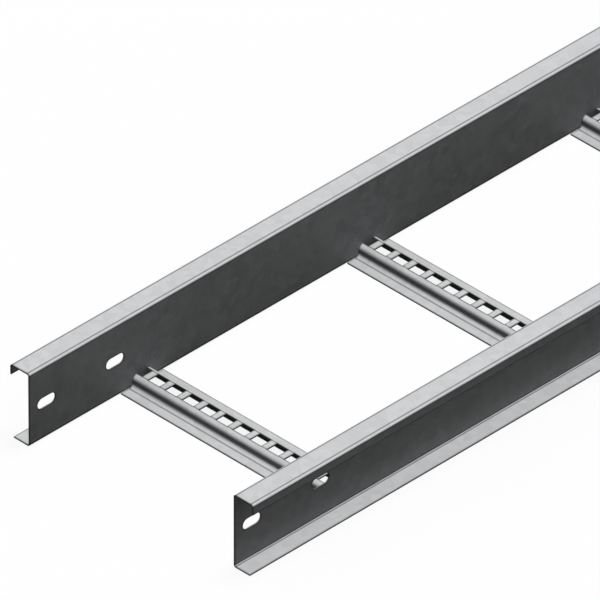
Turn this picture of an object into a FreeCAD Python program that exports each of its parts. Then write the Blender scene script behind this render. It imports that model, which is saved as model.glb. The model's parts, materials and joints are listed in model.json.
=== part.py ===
import FreeCAD, Part
import math
import os

# Cable ladder section, in millimetres.
# X runs across the ladder, Y along it and Z up. The origin is the middle of the underside.
# Two folded side rails, open outwards, carry folded rungs whose crowns are slotted for
# cable ties and clamps. Every piece is bent from the same sheet.

sheet = 1.5

# The whole section
section_length = 3000.0
inside_width = 300.0          # clear width for cables, between the webs of the two rails
rung_first = 164.0            # from the near end to the middle of the first rung
rung_module = 1000.0          # the length that holds a whole number of rungs
rungs_per_module = 3

# Side rail, a C that opens outwards
rail_height = 92.0
rail_top_flange = 28.0        # from the web's cable face to the face of the lip
rail_bottom_flange = 23.5     # from the web's cable face to the free edge
rail_lip = 13.0               # the lip turned down from the top flange
rail_bend = 1.5               # inside radius

# Splice slots in the web at each end of a rail
splice_slot_length = 26.0     # end to end
splice_slot_width = 13.0
splice_slot_first = 25.0      # from the end of the rail to the first slot
splice_slot_spacing = 100.0
splice_slot_count = 2

# Rung, a hat section with its open side down
rung_width = 62.0
rung_height = 15.0
rung_crown = 28.0             # across the outer faces of the two flanks
rung_bend = 5.0               # inside radius

# Tie slots in the flat of the crown
tie_slot_pitch = 25.0
tie_slot_length = 16.5        # across the ladder

cut_margin = 1.0              # how far a cutter runs past the face that it opens

rail_face = inside_width / 2
rung_spacing = rung_module / rungs_per_module
rung_outer_bend = rung_bend + sheet
crown_flat = rung_crown - 2 * rung_outer_bend


def left_normal(start, end):
    length = math.hypot(end[0] - start[0], end[1] - start[1])
    return (start[1] - end[1]) / length, (end[0] - start[0]) / length


def beside(corners, distance):
    """The open outline moved to its left by a distance, with its corners mitred."""
    normals = [left_normal(a, b) for a, b in zip(corners, corners[1:])]
    before = [normals[0]] + normals
    after = normals + [normals[-1]]
    moved = []
    for (u, z), (au, az), (bu, bz) in zip(corners, before, after):
        scale = distance / (1 + au * bu + az * bz)
        moved.append((u + scale * (au + bu), z + scale * (az + bz)))
    return moved


def turns_left(before, corner, after):
    run_in = (corner[0] - before[0], corner[1] - before[1])
    run_out = (after[0] - corner[0], after[1] - corner[1])
    return run_in[0] * run_out[1] - run_in[1] * run_out[0] > 0


def towards(start, end, distance):
    length = math.hypot(end[0] - start[0], end[1] - start[1])
    share = distance / length
    return start[0] + share * (end[0] - start[0]), start[1] + share * (end[1] - start[1])


def rounded(corners, radii, place):
    """Lines and tangent arcs along an open outline of square corners."""
    edges = []
    start = corners[0]
    for before, corner, after, radius in zip(corners, corners[1:], corners[2:], radii):
        arc_start = towards(corner, before, radius)
        arc_end = towards(corner, after, radius)
        centre = (arc_start[0] + arc_end[0] - corner[0], arc_start[1] + arc_end[1] - corner[1])
        arc_middle = towards(centre, corner, radius)
        edges.append(Part.makeLine(place(start), place(arc_start)))
        edges.append(Part.Arc(place(arc_start), place(arc_middle), place(arc_end)).toShape())
        start = arc_end
    edges.append(Part.makeLine(place(start), place(corners[-1])))
    return edges


def folded_sheet(corners, bend, place, run):
    """A strip of sheet folded along the corners of its right-hand face, pushed along run."""
    other_face = beside(corners, sheet)
    lefts = [turns_left(*triple) for triple in zip(corners, corners[1:], corners[2:])]
    near_radii = [bend + sheet if left else bend for left in lefts]
    far_radii = [bend if left else bend + sheet for left in lefts]
    edges = rounded(corners, near_radii, place)
    edges += rounded(other_face, far_radii, place)
    edges.append(Part.makeLine(place(corners[0]), place(other_face[0])))
    edges.append(Part.makeLine(place(corners[-1]), place(other_face[-1])))
    outline = Part.Wire(Part.__sortEdges__(edges))
    return Part.Face(outline).extrude(run)


def round_ended_cutter(y, z):
    """Cuts one splice slot through the web of the right-hand rail."""
    radius = splice_slot_width / 2
    reach = splice_slot_length / 2 - radius
    x = rail_face - cut_margin

    def at(along, up):
        return FreeCAD.Vector(x, y + along, z + up)

    edges = [
        Part.makeLine(at(-reach, -radius), at(reach, -radius)),
        Part.Arc(at(reach, -radius), at(reach + radius, 0), at(reach, radius)).toShape(),
        Part.makeLine(at(reach, radius), at(-reach, radius)),
        Part.Arc(at(-reach, radius), at(-reach - radius, 0), at(-reach, -radius)).toShape(),
    ]
    depth = sheet + 2 * cut_margin
    return Part.Face(Part.Wire(edges)).extrude(FreeCAD.Vector(depth, 0, 0))


def side_rail():
    """The right-hand rail: lip, top flange, web and bottom flange."""
    corners = [
        (rail_top_flange, rail_height - rail_lip),
        (rail_top_flange, rail_height),
        (0.0, rail_height),
        (0.0, 0.0),
        (rail_bottom_flange, 0.0),
    ]

    def place(point):
        return FreeCAD.Vector(rail_face + point[0], -section_length / 2, point[1])

    rail = folded_sheet(corners, rail_bend, place, FreeCAD.Vector(0, section_length, 0))
    for number in range(splice_slot_count):
        from_end = splice_slot_first + number * splice_slot_spacing
        for end in (-1, 1):
            y = end * (section_length / 2 - from_end)
            rail = rail.cut(round_ended_cutter(y, rail_height / 2))
    return rail


def rung(y):
    """A slotted hat section between the webs of the rails, centred on y."""
    flank = rung_crown / 2 - sheet
    crown_underside = rung_height - sheet
    corners = [
        (-rung_width / 2, 0.0),
        (-flank, 0.0),
        (-flank, crown_underside),
        (flank, crown_underside),
        (flank, 0.0),
        (rung_width / 2, 0.0),
    ]

    def place(point):
        return FreeCAD.Vector(-rail_face, y + point[0], point[1])

    hat = folded_sheet(corners, rung_bend, place, FreeCAD.Vector(inside_width, 0, 0))
    slots_each_side = math.ceil(rail_face / tie_slot_pitch)
    cutters = []
    for number in range(-slots_each_side, slots_each_side + 1):
        corner = FreeCAD.Vector(
            number * tie_slot_pitch - tie_slot_length / 2,
            y - crown_flat / 2,
            crown_underside - cut_margin,
        )
        cutters.append(Part.makeBox(tie_slot_length, crown_flat, sheet + 2 * cut_margin, corner))
    return hat.cut(cutters)


def save(shape, name):
    solid = shape.Solids[0]
    print(name, "solids", len(shape.Solids), "valid", solid.isValid(),
          "volume cm3", round(solid.Volume / 1000, 2))
    solid.exportStep(os.path.join("parts", name + ".step"))


os.makedirs("parts", exist_ok=True)

rail_right = side_rail()
rail_left = rail_right.mirror(FreeCAD.Vector(0, 0, 0), FreeCAD.Vector(1, 0, 0))
save(rail_left, "rail_left")
save(rail_right, "rail_right")

rung_count = math.floor((section_length - 2 * rung_first) / rung_spacing) + 1
for number in range(rung_count):
    y = rung_first + number * rung_spacing - section_length / 2
    save(rung(y), "rung_%d" % (number + 1))
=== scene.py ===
# %% [markdown]
# This lesson dresses a cable ladder section: two side rails folded from steel sheet and nine slotted
# rungs between them. The solids come ready made from the frame, at their real size in metres, with X
# across the ladder, Y along it and Z up. Folded sheet needs no modelling here beyond its welds, so the
# work is in the zinc finish, the light and the camera.

# %% Load the solids
import bpy
import bmesh
import json
import math
from mathutils import Matrix, Vector


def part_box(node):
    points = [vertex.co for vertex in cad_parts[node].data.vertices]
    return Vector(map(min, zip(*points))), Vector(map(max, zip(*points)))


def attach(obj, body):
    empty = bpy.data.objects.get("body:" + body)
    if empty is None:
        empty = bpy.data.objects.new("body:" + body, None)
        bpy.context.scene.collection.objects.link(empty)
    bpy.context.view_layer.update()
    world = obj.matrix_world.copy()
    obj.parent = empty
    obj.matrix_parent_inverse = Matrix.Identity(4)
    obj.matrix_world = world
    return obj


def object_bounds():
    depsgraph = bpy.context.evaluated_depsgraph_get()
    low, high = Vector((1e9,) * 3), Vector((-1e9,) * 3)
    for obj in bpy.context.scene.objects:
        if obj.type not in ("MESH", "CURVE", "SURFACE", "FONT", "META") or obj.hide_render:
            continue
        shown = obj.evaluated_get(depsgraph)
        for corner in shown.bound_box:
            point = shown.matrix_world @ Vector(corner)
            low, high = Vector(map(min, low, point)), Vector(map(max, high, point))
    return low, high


MM = 1000.0                  # millimetres in a metre, for what the cells print

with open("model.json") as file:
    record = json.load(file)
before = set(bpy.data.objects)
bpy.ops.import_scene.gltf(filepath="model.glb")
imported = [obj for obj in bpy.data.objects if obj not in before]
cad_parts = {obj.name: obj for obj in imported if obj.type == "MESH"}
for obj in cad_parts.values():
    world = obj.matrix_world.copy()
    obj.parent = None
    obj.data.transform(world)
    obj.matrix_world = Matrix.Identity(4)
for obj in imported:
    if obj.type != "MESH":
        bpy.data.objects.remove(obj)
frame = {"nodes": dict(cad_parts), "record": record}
cad_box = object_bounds()
low, high = cad_box
rungs = [name for name in frame["nodes"] if name.startswith("rung_")]
rungs.sort(key=lambda name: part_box(name)[0].y)
rails = sorted(name for name in frame["nodes"] if name.startswith("rail_"))
print("ladder", [round(size, 3) for size in high - low], "m")
print(len(rungs), "rungs between", len(rails), "rails")

# %% [markdown]
# The picture to match is an isometric drawing: all three axes are equally foreshortened and lines that
# are parallel stay parallel. An orthographic camera would do that exactly, but it keeps its crop when the
# view is turned, and three metres of ladder would run out of it. A very long lens from far away is nearly
# as parallel, and it can still step back to show the whole section.

# %% Aim a long lens along the isometric diagonal
LENS_MM = 1600.0
SENSOR_MM = 36.0
PICTURE_WIDTH = 0.6272       # metres across the picture at the point aimed at
AIM_FROM_NEAR_END = 0.3850   # metres along the ladder to that point
AIM_FROM_MIDDLE = -0.1384    # and across it
SEES_BEYOND = 3.0            # how far the lens sees, in distances to that point

view_line = Vector((-1.0, 1.0, -1.0)).normalized()   # as much of X as of Y and of Z
aim = Vector((AIM_FROM_MIDDLE, low.y + AIM_FROM_NEAR_END, low.z))
distance = PICTURE_WIDTH * LENS_MM / SENSOR_MM

lens = bpy.data.cameras.new("drawing_view")
lens.lens = LENS_MM
lens.sensor_width = SENSOR_MM
lens.clip_end = SEES_BEYOND * distance
camera = bpy.data.objects.new("drawing_view", lens)
camera.location = aim - view_line * distance
camera.rotation_euler = view_line.to_track_quat("-Z", "Y").to_euler()
bpy.context.scene.collection.objects.link(camera)
bpy.context.scene.camera = camera
bpy.context.scene.view_settings.view_transform = "Standard"
print("camera", round(distance, 2), "m away, aimed at", [round(value, 3) for value in aim])

# %% [markdown]
# The drawing is shaded by one rule: a face is pale if it looks up and dark if it stands upright. Nothing
# casts a shadow, so a bottom flange is as pale as the top flange over it, and nothing throws light on
# anything else, so a web stays dark down to the bright flange at its foot. Two suns share the work here.
# One is wide, as a large softbox looks from below, and its light casts soft shadows and bounces, as real
# light does. The other is small and follows the drawing: it casts no shadow, so it reaches what lies
# under a flange, and its light stops at the first face that it meets. It has by far the larger share, so
# the softbox adds only a breath of shadow.
#
# Both lean the same way: a little to the right, so that the sides that face the camera there aren't
# black, and more to the back, so that the front flanks of the rungs fall dark. Together they have a
# strength of about pi, at which a white floor renders just white and colours come out about as they are
# written. Neither shows in reflections: seen from straight above, every flat face would mirror them at
# once and turn white.

# %% Hang the softbox and the even lamp
LIGHT_LEVEL = 0.95
SOFTBOX_SHARE = 0.06
SOFTBOX_ANGLE = math.radians(20)
EVEN_LAMP_ANGLE = math.radians(1)
LEAN_RIGHT = math.radians(1.8)
LEAN_BACK = math.radians(14)
LAMP_HEIGHT = 3.0            # only the direction of a sun matters, so this is for looks in the editor


def hang_lamp(name, share, angle):
    lamp = bpy.data.lights.new(name, "SUN")
    lamp.energy = math.pi * LIGHT_LEVEL * share
    lamp.angle = angle
    hung = bpy.data.objects.new(name, lamp)
    hung.location = (0, 0, LAMP_HEIGHT)
    hung.rotation_euler = (-LEAN_BACK, LEAN_RIGHT, 0)
    hung.visible_glossy = False
    bpy.context.scene.collection.objects.link(hung)
    print(name, "strength", round(lamp.energy, 2), "and", round(math.degrees(angle)), "degrees wide")
    return lamp


hang_lamp("softbox", SOFTBOX_SHARE, SOFTBOX_ANGLE)
even_lamp = hang_lamp("even_lamp", 1 - SOFTBOX_SHARE, EVEN_LAMP_ANGLE)
even_lamp.use_shadow = False
even_lamp.cycles.max_bounces = 0

# %% [markdown]
# Materials and the sky are built from nodes. Four small helpers keep the wiring readable: one adds a node
# and fills its sockets with numbers or with the outputs of other nodes, two do arithmetic with numbers
# and with vectors, and one scales the noise textures, whose values swing around a half.

# %% Helpers for wiring nodes
def add_node(tree, kind, sockets=None, **settings):
    """Adds a node, with settings as its properties and sockets as {name or number: value or output}."""
    made = tree.nodes.new(kind)
    for name, value in settings.items():
        setattr(made, name, value)
    for name, value in (sockets or {}).items():
        if isinstance(value, bpy.types.NodeSocket):
            tree.links.new(value, made.inputs[name])
        else:
            made.inputs[name].default_value = value
    return made


def maths(tree, operation, *values, clamp=False):
    sockets = dict(enumerate(values))
    return add_node(tree, "ShaderNodeMath", sockets, operation=operation, use_clamp=clamp).outputs[0]


def vector_maths(tree, operation, first, second):
    """Vector arithmetic. SCALE takes a number or an output as its second operand."""
    sockets = {0: first, ("Scale" if operation == "SCALE" else 1): second}
    return add_node(tree, "ShaderNodeVectorMath", sockets, operation=operation).outputs[0]


def swing(tree, value, amount, middle=1.0):
    """Turns a value around a half into one around the middle."""
    return maths(tree, "MULTIPLY_ADD", value, amount, middle - amount / 2)


print("helpers ready")

# %% [markdown]
# Behind the ladder everything is white, but a bright white sky would light the upright sides as much as
# the flanges. So the sky has three strengths, and the Light Path node tells which kind of ray is asking.
# The camera sees plain white. Reflections see most of that, which gives the flanges their sheen. The
# light that falls on the ladder is only a faint fill, which keeps the sides that no lamp reaches from
# going black.

# %% White sky
PAPER = 0.98
SKY_FILL = 0.1
SKY_GLOSS = 0.7


def seen_as_background(tree, gloss_share):
    """1 for what the camera sees directly or through glass, and a share of it for reflections."""
    path = add_node(tree, "ShaderNodeLightPath")
    direct = maths(tree, "ADD", path.outputs["Is Camera Ray"], path.outputs["Is Transmission Ray"])
    mirrored = maths(tree, "MULTIPLY", path.outputs["Is Glossy Ray"], gloss_share)
    return maths(tree, "ADD", direct, mirrored, clamp=True)


def grey(value):
    return (value, value, value, 1.0)


world = bpy.data.worlds.new("studio")
world.use_nodes = True
sky = world.node_tree
sky.nodes.clear()
strength = add_node(sky, "ShaderNodeMapRange", {
    "Value": seen_as_background(sky, SKY_GLOSS), "To Min": SKY_FILL, "To Max": PAPER})
background = add_node(sky, "ShaderNodeBackground", {"Color": grey(1.0), "Strength": strength.outputs[0]})
add_node(sky, "ShaderNodeOutputWorld", {"Surface": background.outputs[0]})
bpy.context.scene.world = world
print("sky", PAPER, "to the camera,", SKY_FILL, "as light")

# %% [markdown]
# The ground of the drawing is plain white too, also where it shows through the slots. White paper under a
# real ladder would throw light back up on its sides, and the sides are dark here, so the ground shows its
# white to the camera alone and stays dark for the light that bounces off it. Part of its white glows by
# itself, which keeps the ladder's soft shadow pale. Reflections see little of it, because the upright
# faces mirror the ground.

# %% Paper-white ground
GROUND_SIZE = 60.0
GROUND_BOUNCE = 0.02
GROUND_GLOW = 0.3
GROUND_GLOSS = 0.08

paper = bpy.data.materials.new("paper_white")
paper.use_nodes = True
tree = paper.node_tree
tree.nodes.clear()
lit = add_node(tree, "ShaderNodeBsdfDiffuse", {"Color": grey(PAPER)})
glow = add_node(tree, "ShaderNodeEmission", {"Color": grey(PAPER)})
white = add_node(tree, "ShaderNodeMixShader", {0: GROUND_GLOW, 1: lit.outputs[0], 2: glow.outputs[0]})
dark = add_node(tree, "ShaderNodeBsdfDiffuse", {"Color": grey(GROUND_BOUNCE)})
shown = seen_as_background(tree, GROUND_GLOSS)
mixed = add_node(tree, "ShaderNodeMixShader", {0: shown, 1: dark.outputs[0], 2: white.outputs[0]})
add_node(tree, "ShaderNodeOutputMaterial", {"Surface": mixed.outputs[0]})

ground_mesh = bpy.data.meshes.new("ground")
bm = bmesh.new()
bmesh.ops.create_grid(bm, x_segments=1, y_segments=1, size=GROUND_SIZE / 2)
bmesh.ops.translate(bm, verts=bm.verts, vec=(0, 0, low.z))
bm.to_mesh(ground_mesh)
bm.free()
ground = bpy.data.objects.new("ground", ground_mesh)
ground.data.materials.append(paper)
bpy.context.scene.collection.objects.link(ground)
print("ground", GROUND_SIZE, "m square at z", round(low.z, 4))

# %% [markdown]
# The sheet is galvanised: steel under a thin coat of zinc, which freezes in flat crystals about a
# centimetre wide. Each crystal, called a spangle, reflects a little differently from its neighbours. A
# Voronoi texture is a natural model: its cells are the crystals, and the random colour of each cell gives
# its own tone, roughness and tilt. The cells are three-dimensional and read Object coordinates, so they
# run round the bends and need no unwrapping.

# %% Spangle
SPANGLE_SIZE = 0.009
SPANGLE_WANDER = 0.0025      # how far the crystal edges stray from straight lines
WANDER_SIZE = 0.006          # and over what length they do
WANDER_DETAIL = 1.0
MIDDLE_COLOUR = (0.5, 0.5, 0.5)   # that random colours swing around


def spangle(tree, place):
    """The random colour of each crystal, and the distance from its edge in crystals."""
    wander = add_node(tree, "ShaderNodeTexNoise", {
        "Vector": place, "Scale": 1 / WANDER_SIZE, "Detail": WANDER_DETAIL})
    centred = vector_maths(tree, "SUBTRACT", wander.outputs["Color"], MIDDLE_COLOUR)
    stray = vector_maths(tree, "SCALE", centred, 2 * SPANGLE_WANDER)
    moved = vector_maths(tree, "ADD", place, stray)
    cells = add_node(tree, "ShaderNodeTexVoronoi", {"Vector": moved, "Scale": 1 / SPANGLE_SIZE})
    borders = add_node(tree, "ShaderNodeTexVoronoi", {"Vector": moved, "Scale": 1 / SPANGLE_SIZE},
                       feature="DISTANCE_TO_EDGE")
    return cells.outputs["Color"], borders.outputs["Distance"]


print("spangle about", SPANGLE_SIZE * MM, "mm across")

# %% [markdown]
# Sheet keeps faint lines from the rollers, along the way it ran through the mill: along the rails, and
# along each rung. Noise stretched in that direction draws them. A slow cloudy noise stands for the uneven
# dulling of the zinc.

# %% Rolling lines and dull patches
ROLLING_LINE_WIDTH = 0.003
ROLLING_LINE_LENGTH = 0.4
ROLLING_LINE_DETAIL = 3.0
ROLLING_LINE_GRAIN = 0.6     # how strong the finer lines are beside the coarser
PATCH_SIZE = 0.12
PATCH_DETAIL = 4.0
PATCH_GRAIN = 0.55


def rolling_lines(tree, place, along):
    """Noise drawn out along one axis, 0 for X and 1 for Y, as a value around a half."""
    scale = [1 / ROLLING_LINE_WIDTH] * 3
    scale[along] = 1 / ROLLING_LINE_LENGTH
    stretched = add_node(tree, "ShaderNodeMapping", {"Vector": place, "Scale": scale})
    return add_node(tree, "ShaderNodeTexNoise", {
        "Vector": stretched.outputs[0], "Scale": 1.0, "Detail": ROLLING_LINE_DETAIL,
        "Roughness": ROLLING_LINE_GRAIN}).outputs[0]


def dull_patches(tree, place):
    return add_node(tree, "ShaderNodeTexNoise", {
        "Vector": place, "Scale": 1 / PATCH_SIZE, "Detail": PATCH_DETAIL,
        "Roughness": PATCH_GRAIN}).outputs[0]


print("rolling lines", ROLLING_LINE_WIDTH * MM, "mm wide, patches", PATCH_SIZE * MM, "mm")

# %% [markdown]
# The sheet was coated before it was cut, so the walls of its cuts show bare steel, and beside each cut
# the blade has dragged the zinc thin, which leaves a narrow dull rim. Both follow from one number: how
# far a point lies from the nearest cut. Painting a mask by hand or keeping a list of faces would work
# too, but the cuts are few and simple, and distances worked out from the section's own sizes stay sharp
# at any scale. Three more helpers measure them.

# %% Helpers that measure distances
def off(tree, value, place):
    """How far a value is from a place, on either side of it."""
    return maths(tree, "ABSOLUTE", maths(tree, "SUBTRACT", value, place))


def among(tree, operation, values):
    """The MINIMUM or the MAXIMUM of several values."""
    found = values[0]
    for value in values[1:]:
        found = maths(tree, operation, found, value)
    return found


def unsigned_parts(tree, vector):
    """The sizes of the three parts of a vector, without their signs."""
    signed = add_node(tree, "ShaderNodeSeparateXYZ", {"Vector": vector}).outputs
    return [maths(tree, "ABSOLUTE", value) for value in signed]


SHEET = 0.0015
rail_low, rail_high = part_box("rail_right")
rung_low, rung_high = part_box(rungs[0])
rung_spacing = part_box(rungs[1])[0].y - rung_low.y
print("sheet", SHEET * MM, "mm thick, rungs", round(rung_spacing * MM, 1), "mm apart")

# %% [markdown]
# A rail is cut across its ends, along the free edge of its bottom flange, along its lip and at its four
# splice slots. The two rails and their two ends mirror each other, so the sizes of X and Y without their
# signs fold all of them into one quarter, and the two slots there into one. A round-ended slot is every
# point within its radius of a short straight core.

# %% From the nearest cut of a rail
LIP = 0.013
BOTTOM_FLANGE = 0.0235
SPLICE_SLOTS_FROM_END = (0.025, 0.125)
SPLICE_HALF_LENGTH = 0.013
SPLICE_HALF_WIDTH = 0.0065


def from_splice_slot(tree, y, z):
    first, second = SPLICE_SLOTS_FROM_END
    along = off(tree, off(tree, y, rail_high.y - (first + second) / 2), (second - first) / 2)
    beyond_core = maths(tree, "SUBTRACT", along, SPLICE_HALF_LENGTH - SPLICE_HALF_WIDTH)
    from_core = add_node(tree, "ShaderNodeCombineXYZ", {
        0: maths(tree, "MAXIMUM", beyond_core, 0.0), 1: off(tree, z, (rail_low.z + rail_high.z) / 2)})
    radius = add_node(tree, "ShaderNodeVectorMath", {0: from_core.outputs[0]}, operation="LENGTH")
    return off(tree, radius.outputs["Value"], SPLICE_HALF_WIDTH)


def from_cut_of_rail(tree, place):
    x, y, z = unsigned_parts(tree, place)
    end = off(tree, y, rail_high.y)
    flange_edge = off(tree, x, rail_low.x + BOTTOM_FLANGE)
    flange = maths(tree, "MAXIMUM", flange_edge, maths(tree, "SUBTRACT", z, SHEET))
    lip_edge = off(tree, z, rail_high.z - LIP)
    lip = maths(tree, "MAXIMUM", lip_edge, maths(tree, "SUBTRACT", rail_high.x - SHEET, x))
    return among(tree, "MINIMUM", [end, flange, lip, from_splice_slot(tree, y, z)])


print("splice slots", 2 * SPLICE_HALF_LENGTH * MM, "by", 2 * SPLICE_HALF_WIDTH * MM, "mm")

# %% [markdown]
# A rung is cut across its ends, along its two feet and at its tie slots. Here the slots repeat along X
# and the rungs along Y, and the WRAP operation folds a row of them into one, as a tape measure that
# starts again at every slot.

# %% From the nearest cut of a rung
TIE_PITCH = 0.025
TIE_HALF_LENGTH = 0.00825
TIE_HALF_WIDTH = 0.0075


def across_rung(tree, y):
    """How far a point lies from the middle line of its own rung."""
    from_first = maths(tree, "SUBTRACT", y, (rung_low.y + rung_high.y) / 2)
    return maths(tree, "ABSOLUTE", maths(tree, "WRAP", from_first, rung_spacing / 2, -rung_spacing / 2))


def from_cut_of_rung(tree, place):
    x, y, z = add_node(tree, "ShaderNodeSeparateXYZ", {"Vector": place}).outputs
    across = across_rung(tree, y)
    along = maths(tree, "ABSOLUTE", maths(tree, "WRAP", x, TIE_PITCH / 2, -TIE_PITCH / 2))
    end = off(tree, maths(tree, "ABSOLUTE", x), rung_high.x)
    foot_edge = off(tree, across, (rung_high.y - rung_low.y) / 2)
    foot = maths(tree, "MAXIMUM", foot_edge, maths(tree, "SUBTRACT", z, SHEET))
    slot = maths(tree, "MAXIMUM", maths(tree, "SUBTRACT", along, TIE_HALF_LENGTH),
                 maths(tree, "SUBTRACT", across, TIE_HALF_WIDTH))
    return among(tree, "MINIMUM", [end, foot, maths(tree, "ABSOLUTE", slot)])


print("tie slots", 2 * TIE_HALF_LENGTH * MM, "by", 2 * TIE_HALF_WIDTH * MM, "mm")

# %% [markdown]
# A point less than a hair from a cut is on its wall. From there the rim fades out over a couple of
# millimetres, and a little noise lets its width wander, as no blade cuts the same all along.

# %% Bare steel and dull rims
HAIR = 0.0001
RIM = 0.0022
RIM_WANDER = 0.0008
RIM_WANDER_LENGTH = 0.008
RIM_WANDER_DETAIL = 2.0


def fade_out(tree, distance, width):
    """1 at a line, falling smoothly to 0 at a width from it."""
    return add_node(tree, "ShaderNodeMapRange", {
        "Value": distance, "From Max": width, "To Min": 1.0, "To Max": 0.0},
        interpolation_type="SMOOTHSTEP").outputs[0]


def bare_steel(tree, from_cut):
    return maths(tree, "LESS_THAN", from_cut, HAIR)


def dull_rim(tree, place, from_cut):
    noise = add_node(tree, "ShaderNodeTexNoise", {
        "Vector": place, "Scale": 1 / RIM_WANDER_LENGTH, "Detail": RIM_WANDER_DETAIL})
    moved = maths(tree, "ADD", from_cut, swing(tree, noise.outputs[0], RIM_WANDER, 0.0))
    return fade_out(tree, moved, RIM)


print("rims fade out", RIM * MM, "mm from a cut")

# %% [markdown]
# Folded sheet has a thin dull line on each side of every bend: the die that the sheet is pressed into
# rubs it with its two shoulders, and that leaves a mark where the flat runs into the bend. Between the
# marks the colour of the bend is painted lighter, a painted highlight, as a curve would catch the light.
# Each mark lies level with the centre of its bend's arc, so the marks are found as the cuts were, by
# distance. A bend itself is found by its normal: a flat of this ladder faces straight along one of the
# three axes, so the largest part of its normal is 1, and in the middle of a bend that falls to 0.71.

# %% Bends and the marks beside them
RAIL_BEND = 0.0015           # inside radius
RUNG_BEND = 0.005
FLANK_FROM_MIDDLE = 0.0125   # from the rung's middle line to the inner face of a flank
DIE_MARK = 0.0015
MIDDLE_OF_BEND = math.cos(math.radians(45))


def from_bend_of_rail(tree, place):
    x, _, z = unsigned_parts(tree, place)
    reach = SHEET + RAIL_BEND
    return among(tree, "MINIMUM", [
        off(tree, x, rail_low.x + reach), off(tree, x, rail_high.x - reach),
        off(tree, z, rail_low.z + reach), off(tree, z, rail_high.z - reach)])


def from_bend_of_rung(tree, place):
    _, y, z = add_node(tree, "ShaderNodeSeparateXYZ", {"Vector": place}).outputs
    across = across_rung(tree, y)
    reach = SHEET + RUNG_BEND
    return among(tree, "MINIMUM", [
        off(tree, across, FLANK_FROM_MIDDLE - RUNG_BEND), off(tree, across, FLANK_FROM_MIDDLE + reach),
        off(tree, z, rung_low.z + reach), off(tree, z, rung_high.z - reach)])


# This mask gives the bends a painted highlight in their colour, and a smoother gloss.
def bend_for_highlight_and_gloss(tree, normal):
    """0 on the flats, rising to 1 in the middle of a bend."""
    facing = among(tree, "MAXIMUM", unsigned_parts(tree, normal))
    turned = maths(tree, "SUBTRACT", 1.0, facing)
    return maths(tree, "MULTIPLY", turned, 1 / (1 - MIDDLE_OF_BEND), clamp=True)


print("die marks fade out", DIE_MARK * MM, "mm to each side")

# %% [markdown]
# All that varies over the sheet is gathered once, so that the colour, the gloss and the relief agree on
# where each crystal, line, rim and bend is.

# %% Gather what varies over the sheet
def read_sheet(tree, rolled_along, find_cuts, find_bends):
    place = add_node(tree, "ShaderNodeTexCoord").outputs["Object"]
    normal = add_node(tree, "ShaderNodeNewGeometry").outputs["Normal"]
    crystal, border = spangle(tree, place)
    tone, gloss, _ = add_node(tree, "ShaderNodeSeparateColor", {0: crystal}).outputs
    from_cut = find_cuts(tree, place)
    return {
        "normal": normal,
        "crystal": crystal,
        "border": border,
        "tone": tone,
        "gloss": gloss,
        "lines": rolling_lines(tree, place, rolled_along),
        "patches": dull_patches(tree, place),
        "cut": bare_steel(tree, from_cut),
        "rim": dull_rim(tree, place, from_cut),
        "bend": bend_for_highlight_and_gloss(tree, normal),
        "mark": fade_out(tree, find_bends(tree, place), DIE_MARK),
    }


print("sheet described by crystals, lines, patches, cuts, rims, bends and marks")

# %% [markdown]
# The colour starts from the zinc's own grey. The tone of each crystal, the rolling lines and the dull
# patches change it by a few percent, the rims and the die marks darken it a good deal, and a painted
# highlight lightens the bends. The cuts replace it by bare steel. Factors are multiplied, because light
# that is lost twice is lost in proportion.

# %% Colour of the sheet
ZINC = frame["record"]["materials"][0]["base_color"][:3]
CUT_STEEL = (0.16, 0.15, 0.14, 1.0)
TONE_OF_SPANGLE = 0.10       # these three say how far the tone swings around 1
TONE_OF_LINES = 0.06
TONE_OF_PATCHES = 0.07
TONE_OF_RIM = 0.38           # and these three what the tone is there
TONE_OF_MARK = 0.3
# the bends are painted lighter: a painted highlight, not a colour of the zinc
PAINTED_HIGHLIGHT_ON_BEND = 1.35
COLOUR_A = 6                 # the Mix node has two inputs and an output for each kind of value,
COLOUR_B = 7                 # and these are the numbers of those for colours
MIXED_COLOUR = 2


def toned(tree, mask, tone):
    """1 where the mask is 0 and the tone where it is 1."""
    return maths(tree, "MULTIPLY_ADD", mask, tone - 1, 1.0)


def colour_of_sheet(tree, sheet):
    factors = [
        swing(tree, sheet["tone"], TONE_OF_SPANGLE),
        swing(tree, sheet["lines"], TONE_OF_LINES),
        swing(tree, sheet["patches"], TONE_OF_PATCHES),
        toned(tree, sheet["rim"], TONE_OF_RIM),
        toned(tree, sheet["mark"], TONE_OF_MARK),
        # painted highlight on the bends
        toned(tree, sheet["bend"], PAINTED_HIGHLIGHT_ON_BEND),
    ]
    factor = among(tree, "MULTIPLY", factors)
    zinc = vector_maths(tree, "SCALE", ZINC, factor)
    mixed = add_node(tree, "ShaderNodeMix", {
        "Factor": sheet["cut"], COLOUR_A: zinc, COLOUR_B: CUT_STEEL}, data_type="RGBA")
    return mixed.outputs[MIXED_COLOUR]


print("zinc", [round(value, 2) for value in ZINC])

# %% [markdown]
# The gloss varies more than the colour does: one crystal is smoother than the next, and the patches are
# where the zinc has dulled. Rims, marks and cuts are rougher, and the bends are smoother.

# %% Gloss of the sheet
ROUGHNESS = 0.42
GLOSS_OF_SPANGLE = 0.10      # these two say how far the roughness swings
GLOSS_OF_PATCHES = 0.12
ROUGHER_CUT = 0.15           # and these three what is added to it there
ROUGHER_DULL = 0.15
SMOOTHER_BEND = -0.16


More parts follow.
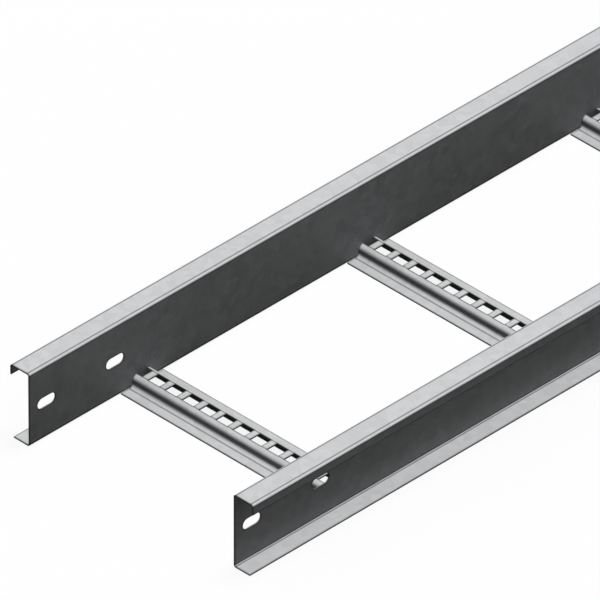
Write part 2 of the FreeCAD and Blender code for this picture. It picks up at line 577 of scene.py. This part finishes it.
def roughness_of_sheet(tree, sheet):
    crystals = swing(tree, sheet["gloss"], GLOSS_OF_SPANGLE, ROUGHNESS)
    rough = maths(tree, "ADD", crystals, swing(tree, sheet["patches"], GLOSS_OF_PATCHES, 0.0))
    dull = maths(tree, "MAXIMUM", sheet["mark"], sheet["rim"])
    rough = maths(tree, "MULTIPLY_ADD", dull, ROUGHER_DULL, rough)
    rough = maths(tree, "MULTIPLY_ADD", sheet["bend"], SMOOTHER_BEND, rough)
    return maths(tree, "MULTIPLY_ADD", sheet["cut"], ROUGHER_CUT, rough, clamp=True)


print("roughness about", ROUGHNESS)

# %% [markdown]
# Each crystal lies at its own slight tilt, and a shallow groove runs where two of them meet. Both are far
# too shallow to model, so the tilt goes into the normal and the grooves and rolling lines into a bump.

# %% Relief of the sheet
FACET_TILT = 0.016
GROOVE_WIDTH = 0.08          # beside a crystal's edge, in crystals
GROOVE_DEPTH = 0.32          # beside a rolling line's height of 1
RELIEF = 0.0001              # the height of 1 in metres
RELIEF_STRENGTH = 0.25


def relief_of_sheet(tree, sheet):
    centred = vector_maths(tree, "SUBTRACT", sheet["crystal"], MIDDLE_COLOUR)
    tilted = vector_maths(tree, "ADD", sheet["normal"], vector_maths(tree, "SCALE", centred, FACET_TILT))
    facet = add_node(tree, "ShaderNodeVectorMath", {0: tilted}, operation="NORMALIZE").outputs[0]
    near_border = maths(tree, "MINIMUM", sheet["border"], GROOVE_WIDTH)
    height = maths(tree, "MULTIPLY_ADD", near_border, GROOVE_DEPTH / GROOVE_WIDTH, sheet["lines"])
    bump = add_node(tree, "ShaderNodeBump", {
        "Strength": RELIEF_STRENGTH, "Distance": RELIEF, "Height": height, "Normal": facet})
    return bump.outputs[0]


print("relief of", RELIEF * MM, "mm")

# %% [markdown]
# Dull zinc lies between a metal and chalk: a little of it mirrors softly and most of it scatters, which
# the Principled shader does with a metallic value well below one. The rails and the rungs get a material
# each, because they were rolled in different directions and cut in different places.

# %% Galvanise the rails and the rungs
METALLIC = 0.14


def galvanised(name, rolled_along, find_cuts, find_bends):
    material = bpy.data.materials.new(name)
    material.use_nodes = True
    tree = material.node_tree
    tree.nodes.clear()
    sheet = read_sheet(tree, rolled_along, find_cuts, find_bends)
    bsdf = add_node(tree, "ShaderNodeBsdfPrincipled", {
        "Base Color": colour_of_sheet(tree, sheet), "Metallic": METALLIC,
        "Roughness": roughness_of_sheet(tree, sheet), "Normal": relief_of_sheet(tree, sheet)})
    add_node(tree, "ShaderNodeOutputMaterial", {"Surface": bsdf.outputs[0]})
    return material


rail_sheet = galvanised("galvanised_rail_sheet", 1, from_cut_of_rail, from_bend_of_rail)
rung_sheet = galvanised("galvanised_rung_sheet", 0, from_cut_of_rung, from_bend_of_rung)
for names, finish in ((rails, rail_sheet), (rungs, rung_sheet)):
    for name in names:
        solid = frame["nodes"][name]
        solid.data.materials.clear()
        solid.data.materials.append(finish)
print("galvanised", len(rails), "rails and", len(rungs), "rungs")

# %% [markdown]
# Nothing on the cable side shows how the rungs are held, so they are welded from below, where no cable
# can rub on a weld. A short bead lies inside the hat, in the corner between the web and each flank, so a
# rung has four. A bead is metal run into a corner and not a piece of the ladder, which is why it is made
# here. It could be a curve with a thickness, but a curve has no ripples. So a round face is pushed along
# instead: first around the foot's bend, then up the flank and around the crown's bend. This cell plans
# those moves.

# %% Plan the way of one bead
BEAD_RADIUS = 0.0022
BEAD_OFF_SHEET = 0.0012      # from the bead's middle line to the sheet, and to the web
FOOT_TURN = math.radians(30)
CROWN_TURN = math.radians(65)
FOOT_STEPS = 6
FLANK_STEPS = 3
CROWN_STEPS = 6
DRAWN_IN = 0.88              # the size of every other ring
TAPER = 0.5                  # and of the first and the last

web_face = rail_low.x
foot_pivot = Vector((web_face, -(FLANK_FROM_MIDDLE + RUNG_BEND + SHEET), RUNG_BEND + SHEET))
crown_pivot = Vector((web_face, -(FLANK_FROM_MIDDLE - RUNG_BEND), rung_high.z - SHEET - RUNG_BEND))
flat_of_flank = crown_pivot.z - foot_pivot.z


def turn_about(pivot, angle):
    return Matrix.Translation(pivot) @ Matrix.Rotation(angle, 4, "X") @ Matrix.Translation(-pivot)


bead_moves = [turn_about(foot_pivot, FOOT_TURN / FOOT_STEPS)] * FOOT_STEPS
bead_moves += [Matrix.Translation((0, 0, flat_of_flank / FLANK_STEPS))] * FLANK_STEPS
bead_moves += [turn_about(crown_pivot, -CROWN_TURN / CROWN_STEPS)] * CROWN_STEPS


def ring_size(number):
    """The bead tapers at both ends and has ripples between them."""
    if number in (0, len(bead_moves)):
        return TAPER
    return 1.0 if number % 2 else DRAWN_IN


print("bead", 2 * BEAD_RADIUS * MM, "mm thick, in", len(bead_moves), "steps")

# %% [markdown]
# The bead starts as a round face, the end of a rod. The face is extruded again and again, and each time
# it takes the next move and its own size, so that every other ring is drawn in a little, as the ripples
# of a weld are. Extruding carries the face along and leaves the start open, so a new face closes the
# first ring when the bead is done.

# %% Run one bead up a flank
BEAD_POINTS = 12


def resize(bm, verts, factor):
    middle = sum((vert.co for vert in verts), Vector()) / len(verts)
    bmesh.ops.scale(bm, vec=[factor] * 3, space=Matrix.Translation(-middle), verts=verts)


def run_bead(bm):
    off_web = Vector((web_face - BEAD_OFF_SHEET, -FLANK_FROM_MIDDLE + BEAD_OFF_SHEET, foot_pivot.z))
    start = turn_about(foot_pivot, -FOOT_TURN) @ Matrix.Translation(off_web)
    bmesh.ops.create_circle(
        bm, cap_ends=True, segments=BEAD_POINTS, radius=BEAD_RADIUS * ring_size(0), matrix=start)
    bm.faces.ensure_lookup_table()
    end = bm.faces[0]
    first_ring = end.edges[:]
    for number, move in enumerate(bead_moves):
        end = bmesh.ops.extrude_discrete_faces(bm, faces=[end])["faces"][0]
        bmesh.ops.transform(bm, matrix=move, verts=end.verts)
        resize(bm, end.verts, ring_size(number + 1) / ring_size(number))
    bmesh.ops.contextual_create(bm, geom=first_ring)


print("rings of", BEAD_POINTS, "points")

# %% [markdown]
# A weld burns the zinc off and is painted over with a paint full of zinc dust: a flat grey, rougher and a
# little darker than the sheet, with the grain of a brush. Fine noise with some distortion gives that
# grain, both to the tone and to a shallow bump.

# %% Zinc paint over the welds
ZINC_PAINT = (0.40, 0.41, 0.42)
PAINT_ROUGHNESS = 0.68
PAINT_METALLIC = 0.15
BRUSH_MARK = 0.0012
BRUSH_DETAIL = 3.0
BRUSH_DISTORTION = 1.0
TONE_OF_BRUSH = 0.24
BRUSH_RELIEF = 0.00008       # in metres
BRUSH_STRENGTH = 0.5

paint = bpy.data.materials.new("zinc_paint")
paint.use_nodes = True
tree = paint.node_tree
tree.nodes.clear()
place = add_node(tree, "ShaderNodeTexCoord").outputs["Object"]
brush = add_node(tree, "ShaderNodeTexNoise", {
    "Vector": place, "Scale": 1 / BRUSH_MARK, "Detail": BRUSH_DETAIL,
    "Distortion": BRUSH_DISTORTION}).outputs[0]
bump = add_node(tree, "ShaderNodeBump", {
    "Strength": BRUSH_STRENGTH, "Distance": BRUSH_RELIEF, "Height": brush})
bsdf = add_node(tree, "ShaderNodeBsdfPrincipled", {
    "Base Color": vector_maths(tree, "SCALE", ZINC_PAINT, swing(tree, brush, TONE_OF_BRUSH)),
    "Metallic": PAINT_METALLIC, "Roughness": PAINT_ROUGHNESS, "Normal": bump.outputs[0]})
add_node(tree, "ShaderNodeOutputMaterial", {"Surface": bsdf.outputs[0]})
print("brush marks", BRUSH_MARK * MM, "mm wide")

# %% [markdown]
# One bead is enough to model. The mirror operator copies it to the other flank and then copies both to
# the other rail. A mirrored shape is inside out, so the normals are worked out again. The four beads of a
# rung are one object, and a Subdivision Surface modifier rounds them.

# %% Weld every rung
ROUNDING_LEVELS = 1


def weld_rung(name):
    bm = bmesh.new()
    run_bead(bm)
    for axis in ("Y", "X"):
        bmesh.ops.mirror(bm, geom=bm.verts[:] + bm.edges[:] + bm.faces[:], axis=axis, merge_dist=0.0)
    rung_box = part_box(name)
    bmesh.ops.translate(bm, verts=bm.verts, vec=(0, (rung_box[0].y + rung_box[1].y) / 2, 0))
    bmesh.ops.recalc_face_normals(bm, faces=bm.faces)
    for face in bm.faces:
        face.smooth = True
    mesh = bpy.data.meshes.new("welds_" + name)
    bm.to_mesh(mesh)
    bm.free()
    welds = bpy.data.objects.new("welds_" + name, mesh)
    welds.data.materials.append(paint)
    rounding = welds.modifiers.new("rounding", "SUBSURF")
    rounding.levels = ROUNDING_LEVELS
    rounding.render_levels = ROUNDING_LEVELS
    bpy.context.scene.collection.objects.link(welds)
    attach(welds, "root")
    return len(mesh.polygons)


faces = [weld_rung(name) for name in rungs]
print("welds on", len(faces), "rungs, with", faces[0], "faces on each")
